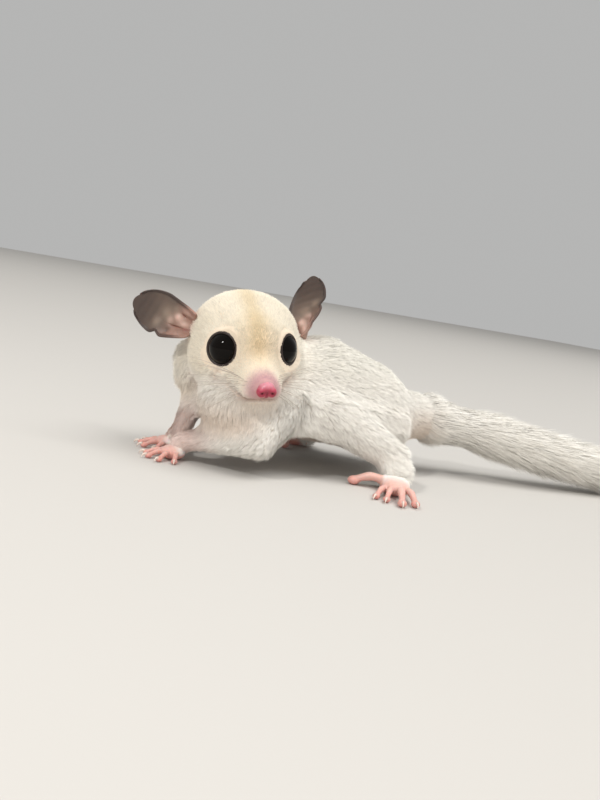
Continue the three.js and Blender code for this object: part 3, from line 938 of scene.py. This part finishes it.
def make_eye(name, side):
    """A round ball with a slightly fuller cornea, and the thin dark rim of its lids."""
    on_eye = eye_frame(side)
    bm = bmesh.new()
    bmesh.ops.create_uvsphere(bm, u_segments=56, v_segments=36, radius=EYE_RADIUS)
    for vertex in bm.verts:
        towards = vertex.co.z / EYE_RADIUS
        vertex.co.z += CORNEA_FULLNESS * max(0.0, towards - 0.5)
    bm.transform(on_eye)
    place(from_bmesh(f"eyeball_{name}", bm), EYE, "eye", f"eye_{name}")
    rim = EYE_RADIUS + LID_RIM_GAP
    bm = bmesh.new()
    bmesh.ops.create_circle(bm, segments=14, radius=LID_RIM_RADIUS, cap_ends=False)
    bmesh.ops.rotate(bm, verts=bm.verts, matrix=Matrix.Rotation(math.radians(90), 3, "X"))
    opening = LID_ANGLES[side]
    bmesh.ops.translate(bm, verts=bm.verts, vec=(rim * math.sin(opening), 0, rim * math.cos(opening)))
    bmesh.ops.spin(
        bm,
        geom=bm.edges[:],
        cent=(0, 0, 0),
        axis=(0, 0, 1),
        angle=2 * math.pi,
        steps=56,
        use_merge=True,
    )
    bmesh.ops.recalc_face_normals(bm, faces=bm.faces)
    bm.transform(on_eye)
    lid = from_bmesh(f"lid_{name}", bm)
    paint(lid.data, np.broadcast_to(LID_COLOUR, (len(lid.data.vertices), 3)))
    place(lid, LID_SKIN, "skin")


# Nose

NOSE_ROSE = np.array([0.42, 0.045, 0.085])
# Painted shade in the nostrils and the groove between them.
NOSE_PAINTED_SHADE = np.array([0.14, 0.008, 0.018])
# A painted highlight on the top of the pad.
NOSE_PAINTED_HIGHLIGHT = np.array([0.6, 0.25, 0.3])


def make_nose():
    """A round pad with a lobe round each nostril, a groove between them and a foot on the lip."""
    bm = bmesh.new()
    forward, left, up = NOSE_AT
    add_ball(bm, (forward - 0.7, left, up + 0.15), (1.8, 1.85, 1.45))
    for side in SIDES.values():
        add_ball(bm, (forward - 0.05, left + 1.05 * side, up - 0.45), (1.35, 1.05, 1.15))
    add_ball(bm, (forward - 0.55, left, up - 1.2), (1.05, 0.5, 0.8))
    piece = from_bmesh("nose_pad", bm)
    even_out(piece, 0.11, 6)
    points = coordinates(piece.data)
    normals = normals_of(piece.data)
    inside = np.zeros(len(points))
    for side in SIDES.values():
        hole = np.array([forward + 1.05, left + 1.05 * side, up - 0.65])
        offset = (points - hole) / np.array([1.1, 0.52, 0.38])
        offset[:, 1] += side * 0.25 * offset[:, 2]
        inside += np.exp(-((offset**2).sum(1)))
    groove = np.exp(-(((points[:, 1] - left) / 0.2) ** 2)) * (1 - smooth(up - 0.6, up + 0.4, points[:, 2]))
    points = points - normals * (0.75 * np.clip(inside, 0, 1) + 0.22 * groove)[:, None]
    set_coordinates(piece.data, points)
    # The pad's top is painted pale, as a painted highlight.
    colour = mixed(NOSE_ROSE, NOSE_PAINTED_HIGHLIGHT, smooth(up - 0.1, up + 1.3, points[:, 2]))
    # The nostrils and the groove are painted dark, as painted shade in these hollows.
    paint(piece.data, mixed(colour, NOSE_PAINTED_SHADE, 1.2 * inside + 0.35 * groove))
    piece.data.transform(HEAD_FRAME)
    place(piece, NOSE_SKIN, "nose_skin", "nose")


# Ears


def ear_half_width(t, s):
    """The half width at share t of the ear's length, narrower and notched on the side of negative s."""
    base = np.where(s < 0, 0.31, 0.73)
    lower = base + (1 - base) * (np.clip(t, 0, 0.5) / 0.5) ** 0.8
    upper = np.sqrt(np.maximum(1 - ((t - 0.5) / 0.56) ** 2, 0))
    fullness = np.where(t < 0.5, lower, upper)
    notch = np.where(s < 0, 0.2 * np.exp(-(((t - 0.53) / 0.06) ** 2)), 0)
    return EAR_HALF_WIDTH * (fullness - notch)


EAR_BROWN = np.array([0.12, 0.084, 0.066])
EAR_DARK = np.array([0.042, 0.027, 0.023])
EAR_TAUPE = np.array([0.27, 0.2, 0.155])
EAR_FLESH = np.array([0.36, 0.215, 0.17])
# A painted highlight on the raised folds in the ear's mouth.
EAR_PAINTED_HIGHLIGHT = np.array([0.72, 0.5, 0.42])
EAR_RED = np.array([0.26, 0.075, 0.055])

# The folds in the mouth of the ear: place along and across, size along and across, height, colour and how
# strong that is. The pale colour on raised folds is a painted highlight.
EAR_FOLDS = [
    (0.27, 0.22, 0.07, 0.2, 0.75, EAR_PAINTED_HIGHLIGHT, 0.95),
    (0.17, 0.0, 0.07, 0.16, 0.5, EAR_PAINTED_HIGHLIGHT, 0.8),
    (0.21, 0.44, 0.035, 0.08, -0.6, EAR_RED, 0.95),
    (0.15, 0.62, 0.09, 0.12, 0.6, EAR_FLESH, 0.8),
    (0.28, -0.3, 0.1, 0.07, -0.65, EAR_RED, 0.9),
    (0.2, -0.68, 0.09, 0.22, 0.7, EAR_FLESH, 0.9),
    (0.12, -0.35, 0.05, 0.14, 0.3, EAR_RED, 0.7),
    (0.38, -0.62, 0.05, 0.2, -0.35, EAR_BROWN, 0.8),
    (0.45, 0.15, 0.1, 0.4, 0.18, EAR_TAUPE, 0.95),
    (0.38, -0.08, 0.045, 0.22, 0.22, EAR_PAINTED_HIGHLIGHT, 0.45),
    (0.56, -0.45, 0.06, 0.28, 0.16, EAR_TAUPE, 0.85),
    (0.34, 0.5, 0.06, 0.2, 0.15, EAR_TAUPE, 0.6),
]


def make_ear(name, side):
    """A thin cupped leaf with a rolled rim, cross ridges, and folded lobes in its pink mouth."""
    spec = EARS[name]
    along = Vector(spec["along"]).normalized()
    facing = Vector(spec["facing"])
    facing = (facing - along * facing.dot(along)).normalized()
    across = along.cross(facing) * -side
    bm = bmesh.new()
    bmesh.ops.create_grid(bm, x_segments=64, y_segments=96, size=1)
    piece = from_bmesh(f"ear_skin_{name}", bm)
    flat = coordinates(piece.data)
    s = flat[:, 0]
    t = (flat[:, 1] + 1) / 2
    height = 3.1 * (1 - t) ** 2 * s * s + 0.5 * t * t
    height += 0.3 * smooth(0.86, 1.0, np.abs(s)) * smooth(0.12, 0.3, t)
    outer = smooth(0.45, 0.58, t) * (1 - smooth(0.85, 0.95, t))
    ridges = np.sin(2 * np.pi * 9 * (t + 0.05 * s)) * outer * np.exp(-((s / 0.7) ** 2))
    height += 0.05 * ridges
    colour = mixed(EAR_BROWN, EAR_FLESH, 1 - smooth(0.22, 0.48, t + 0.1 * s))
    colour = mixed(colour, EAR_DARK, 0.6 * smooth(0.55, 0.85, t))
    # The cross ridges are painted a little lighter on their tops and darker between them, as painted light
    # and shade.
    colour = colour * (1 + 0.06 * ridges)[:, None]
    for at_t, at_s, size_t, size_s, rise, tone, strength in EAR_FOLDS:
        bump = np.exp(-(((t - at_t) / size_t) ** 2) - ((s - at_s) / size_s) ** 2)
        height += rise * bump
        colour = mixed(colour, tone, strength * bump)
    colour = mixed(colour, EAR_DARK, 0.75 * smooth(0.82, 0.95, np.abs(s)) * smooth(0.08, 0.25, t))
    rounding = 1 - 0.1 * s * s * t**3
    points = (
        np.array(spec["at"])
        + np.outer(EAR_LENGTH * (t * rounding - 0.16 * (1 - t)), along)
        + np.outer(s * ear_half_width(t, s), across)
        + np.outer(height, facing)
    )
    set_coordinates(piece.data, points)
    paint(piece.data, colour)
    thicken = piece.modifiers.new("thickness", "SOLIDIFY")
    thicken.thickness = EAR_THICKNESS
    thicken.offset = 0
    apply_modifiers(piece)
    fix_normals(piece)
    piece.data.transform(HEAD_FRAME)
    place(piece, EAR_SKIN, "ear_skin", f"ear_{name}")


def fix_normals(piece):
    bm = bmesh.new()
    bm.from_mesh(piece.data)
    bmesh.ops.recalc_face_normals(bm, faces=bm.faces)
    bm.to_mesh(piece.data)
    bm.free()


# Paws: each is drawn with its wrist at the origin, its digits along x and its thumb towards y. A digit has
# its root, turn in degrees, length, thickness and claw's length. The pale cover of the paw's back fades
# between pale_from and pale_to, and the body's coat is carried on over the coated balls.

HAND = {
    "palm": [((1.9, 0, 1.5), (2.8, 2.5, 1.6))],
    "digits": [
        ((1.4, 1.3), 54, 3.6, 1.5, 1.1),
        ((2.7, 1.1), 28, 4.3, 1.5, 1.2),
        ((3.1, 0.1), 2, 4.6, 1.5, 1.2),
        ((2.8, -0.9), -26, 4.6, 1.5, 1.2),
        ((1.8, -1.4), -54, 4.3, 1.5, 1.1),
    ],
    "wrist": ((0, 0, 3.4), 2.1),
    "pale_from": 1.0,
    "pale_to": 3.2,
    "coated": [((0, 0, 3.4), 2.55)],
}
FOOT = {
    "palm": [((5, 0, 1.8), (6.2, 3.4, 2.2)), ((1.6, 0, 2.4), (3, 2.6, 2.4))],
    "digits": [
        ((4.4, 2), 92, 7.2, 2.5, 0),
        ((8.6, 2.1), 18, 6.8, 1.7, 1.6),
        ((9.2, 0.9), 9, 7.4, 1.7, 1.6),
        ((9, -0.8), -2, 9.4, 2.1, 1.5),
        ((8, -2.2), -12, 8.8, 2, 1.5),
    ],
    "wrist": ((1, 0, 4.2), 3.2),
    "pale_from": 5.5,
    "pale_to": 10.0,
    "coated": [((1, 0, 4.2), 4.05), ((4.2, 0, 2.7), 2.9)],
}
# Each paw's plan, place, turn in degrees, and 1 or -1 where it is mirrored.
PAWS = {
    "forefoot_left": (HAND, (-24.6, 4), 190, -1),
    "forefoot_right": (HAND, (-22.5, 12.6), 150, 1),
    "hindfoot_left": (FOOT, (20.8, -11.6), 238, -1),
    "hindfoot_right": (FOOT, (20.5, 28), 140, 1),
}


def paw_frame(at, turn, thumb_side):
    turned = Matrix.Translation(Vector((*at, 0))) @ Matrix.Rotation(math.radians(turn), 4, "Z")
    return turned @ Matrix.Diagonal((1, thumb_side, 1, 1))


def add_digit(bm, root, turn, length, thickness):
    """A bead chain: root, knuckle, arched middle joint and a round pad under the tip."""
    radius = thickness / 2
    way = Vector((math.cos(math.radians(turn)), math.sin(math.radians(turn)), 0))
    for step in range(13):
        t = step / 12
        arch = radius * (1.5 + 0.75 * math.sin(math.pi * min(t / 0.9, 1)) - 0.5 * t)
        knuckle = 0.16 * math.exp(-(((t - 0.08) / 0.1) ** 2))
        joint = 0.16 * math.exp(-(((t - 0.52) / 0.09) ** 2))
        size = radius * (0.82 - 0.14 * t) * (1 + knuckle + joint)
        centre = Vector((*root, arch)) + way * (length * t)
        add_ball(bm, centre, (size,) * 3, steps=2)
    pad = Vector((*root, radius * 0.8)) + way * (length * 0.97)
    pad_turn = Matrix.Rotation(math.radians(turn), 4, "Z")
    add_ball(bm, pad, (radius * 1.15, radius, radius * 0.8), pad_turn, steps=2)


PAW_PINK = np.array([0.72, 0.36, 0.31])
PAW_PALE = np.array([0.8, 0.58, 0.5])
PAW_ROSY = np.array([0.66, 0.24, 0.22])


def make_paw(name, plan, at, turn, thumb_side):
    on_paw = paw_frame(at, turn, thumb_side)
    bm = bmesh.new()
    for centre, radii in plan["palm"]:
        add_ball(bm, centre, radii)
    centre, radius = plan["wrist"]
    add_ball(bm, centre, (radius,) * 3)
    palm_centre = Vector(plan["palm"][0][0])
    for root, digit_turn, length, thickness, _ in plan["digits"]:
        add_digit(bm, root, digit_turn, length, thickness)
        for step in range(6):
            back = palm_centre.lerp(Vector((*root, thickness * 0.95)), step / 5)
            add_ball(bm, back, (thickness * 0.52,) * 3, steps=2)
    bm.transform(on_paw)
    if thumb_side < 0:
        bmesh.ops.reverse_faces(bm, faces=bm.faces)
    piece = from_bmesh(f"paw_{name}", bm)
    even_out(piece, 0.17, 5)
    points = coordinates(piece.data)
    points[:, 2] = np.maximum(points[:, 2], 0)
    set_coordinates(piece.data, points)
    local = moved(points, on_paw.inverted())
    colour = mixed(PAW_PINK, PAW_PALE, 0.6 * smooth(0.6, 3.2, points[:, 2]))
    colour = mixed(colour, PAW_ROSY, 0.6 * (1 - smooth(0.1, 0.9, points[:, 2])))
    # Painted shade in fine lines across the paw, where its skin creases.
    creases = 0.5 + 0.5 * np.sin(local[:, 0] * 9.0)
    colour = colour * (0.94 + 0.06 * creases)[:, None]
    cover = (1 - smooth(plan["pale_from"], plan["pale_to"], local[:, 0])) * smooth(0.9, 1.8, local[:, 2])
    cover *= 1 - smooth(2.4, 3.2, local[:, 1])
    paint(piece.data, mixed(colour, PAW_WHITE, 0.85 * cover))
    unwrap(piece)
    place(piece, PAW_SKIN, "skin", name)
    make_claws(name, plan, on_paw)


CLAW_COLOUR = np.array([0.8, 0.68, 0.6])


def make_claws(name, plan, on_paw):
    """A curved claw on each digit that has one, with its tip just above the floor."""
    rows = [digit for digit in plan["digits"] if digit[-1] > 0]
    roots, controls, tips, acrosses = [], [], [], []
    for root, turn, length, thickness, claw in rows:
        radius = thickness / 2
        way = Vector((math.cos(math.radians(turn)), math.sin(math.radians(turn)), 0))
        start = Vector((*root, radius * 1.15)) + way * (length + radius * 0.5)
        end = start + way * (claw * 0.95)
        end.z = 0.08
        roots.append(on_paw @ start)
        controls.append(on_paw @ (start + way * (claw * 0.75) + Vector((0, 0, 0.3))))
        tips.append(on_paw @ end)
        acrosses.append((on_paw.to_3x3() @ Vector((-way.y, way.x, 0))).normalized())
    many = len(rows)
    claws = spikes(
        f"claws_{name}",
        np.array(roots),
        np.array(controls),
        np.array(tips),
        np.array(acrosses),
        np.full(many, 0.55),
        np.full(many, 0.75),
        10,
        8,
        0.7,
        np.tile(CLAW_COLOUR, (many, 1)),
        (0.95, 1.05),
    )
    place(claws, CLAW, "skin")


# Whiskers

WHISKER_COLOUR = np.array([0.5, 0.42, 0.36])
WHISKER_WIDTH = 0.12


def make_whiskers():
    """Rows of fine whiskers on each side of the muzzle."""
    roots, ways, lengths = [], [], []
    for side in SIDES.values():
        for row in range(4):
            for column in range(5):
                forward = 17.6 - 1.15 * column - 0.2 * row
                out = 2.5 + 0.42 * column
                up = -4.1 - 0.75 * row + 0.1 * column
                roots.append((forward, side * out, up))
                spread = rng.uniform(-0.12, 0.12)
                ways.append((0.15 - 0.2 * column + spread, side * 0.95, 0.32 - 0.24 * row + spread))
                lengths.append(7 + 2.2 * column + rng.uniform(-1, 1.5))
    head = np.array(HEAD_FRAME)
    roots = moved(np.array(roots), HEAD_FRAME)
    ways = unit(np.array(ways)) @ head[:3, :3].T
    lengths = np.array(lengths)[:, None]
    back = -head[:3, 0] * 0.35 + np.array([0, 0, -0.22])
    controls = roots + ways * lengths * 0.5
    tips = roots + unit(ways + back) * lengths
    tips[:, 2] = np.maximum(tips[:, 2], 1.0)
    across = unit(np.cross(ways, np.array([0.0, 0.0, 1.0])))
    many = len(roots)
    whiskers = spikes(
        "whiskers",
        roots - ways * 0.8,
        controls,
        tips,
        across,
        np.full(many, WHISKER_WIDTH),
        np.full(many, WHISKER_WIDTH),
        4,
        7,
        0.6,
        np.tile(WHISKER_COLOUR, (many, 1)),
        (0.8, 1.2),
    )
    place(whiskers, COAT, "coat")


# Making it all


# How much darker and redder the skin is than the coat over it.
UNDER_COAT_SHADE = np.array([0.92, 0.85, 0.8])
# How far the skin stays above the floor.
SKIN_CLEARANCE = 0.05


def make_body():
    skin = make_skin()
    coat = Coat(coordinates(skin.data), normals_of(skin.data))
    points = coat.points - coat.normals * coat.depth()[:, None]
    for side in SIDES.values():
        points = open_lids(points, side)
    points[:, 2] = np.maximum(points[:, 2], SKIN_CLEARANCE)
    set_coordinates(skin.data, points)
    colour = coat_colour(coat)
    paint(skin.data, colour * UNDER_COAT_SHADE)
    unwrap(skin)
    head = coat.weights["head"]
    tail = coat.weights["tail"]
    grow_hair(
        Surface(skin),
        coat.density,
        coat.way,
        coat.length,
        coat.lift,
        coat.width,
        coat.clumping,
        colour,
        [("head", 1, head), ("tail", 2, tail), ("body", 1, 1 - head - tail)],
    )
    place(skin, UNDERCOAT, "coat", *FLESH, "tail")


make_body()
for ear_name, ear_side in SIDES.items():
    make_ear(ear_name, ear_side)
    make_eye(ear_name, ear_side)
make_nose()
for paw_name, (paw_plan, paw_at, paw_turn, paw_side) in PAWS.items():
    make_paw(paw_name, paw_plan, paw_at, paw_turn, paw_side)
make_whiskers()


# Camera: as in the photograph, from the animal's left and a little in front, the floor falling to the right

CAMERA_LENS = 40.5
CAMERA_DISTANCE = 200
CAMERA_AIM = Vector((0, 0, 16))
CAMERA_AZIMUTH = math.radians(-30)
CAMERA_ELEVATION = math.radians(7)
CAMERA_ROLL = math.radians(10)


def looking_back(way):
    """The turn of a camera or light that stands off this way and looks back."""
    return way.to_track_quat("Z", "Y").to_matrix().to_4x4()


def make_camera():
    data = bpy.data.cameras.new("camera")
    data.lens = CAMERA_LENS
    data.clip_start = 0.005
    data.clip_end = 20
    camera = linked("camera", data)
    level = Vector((math.sin(CAMERA_AZIMUTH), -math.cos(CAMERA_AZIMUTH), 0))
    back = level * math.cos(CAMERA_ELEVATION) + Vector((0, 0, math.sin(CAMERA_ELEVATION)))
    turn = looking_back(back) @ Matrix.Rotation(CAMERA_ROLL, 4, "Z")
    camera.matrix_world = Matrix.Translation(TO_FRAME @ (CAMERA_AIM + back * CAMERA_DISTANCE)) @ turn
    bpy.context.scene.camera = camera


FLOOR_COLOUR = (0.56, 0.54, 0.51, 1)
LIGHTS_AIM = Vector((0, 0, 18))


def make_floor():
    bm = bmesh.new()
    bmesh.ops.create_grid(bm, x_segments=1, y_segments=1, size=3)
    floor = from_bmesh("floor", bm)
    material, *_ = new_material("pale floor", Base_Color=FLOOR_COLOUR, Roughness=0.85)
    floor.data.materials.append(material)


def add_light(name, way, distance, size, power, colour, glossy=True):
    """A round light that shines on the animal from the given way, with its distance and size in metres."""
    data = bpy.data.lights.new(name, "AREA")
    data.shape = "DISK"
    data.size = size
    data.energy = power
    data.color = colour
    light = linked(name, data)
    way = Vector(way).normalized()
    light.matrix_world = Matrix.Translation(TO_FRAME @ LIGHTS_AIM + way * distance) @ looking_back(way)
    light.visible_glossy = glossy


def make_lights():
    world = bpy.data.worlds.new("soft surroundings")
    world.use_nodes = True
    background = world.node_tree.nodes["Background"]
    background.inputs["Color"].default_value = (0.93, 0.93, 0.92, 1)
    background.inputs["Strength"].default_value = 0.5
    bpy.context.scene.world = world
    bpy.context.scene.view_settings.view_transform = "Standard"
    add_light("key", (-0.68, -0.32, 0.66), 0.55, 0.06, 1.2, (1.0, 0.98, 0.95))
    add_light("overhead", (0.35, -0.25, 1), 2.5, 2.1, 54, (1.0, 0.99, 0.97), glossy=False)
    add_light("fill", (-0.5, -0.9, 0.2), 0.9, 0.7, 1.6, (1.0, 0.94, 0.88), glossy=False)


make_camera()
make_floor()
make_lights()
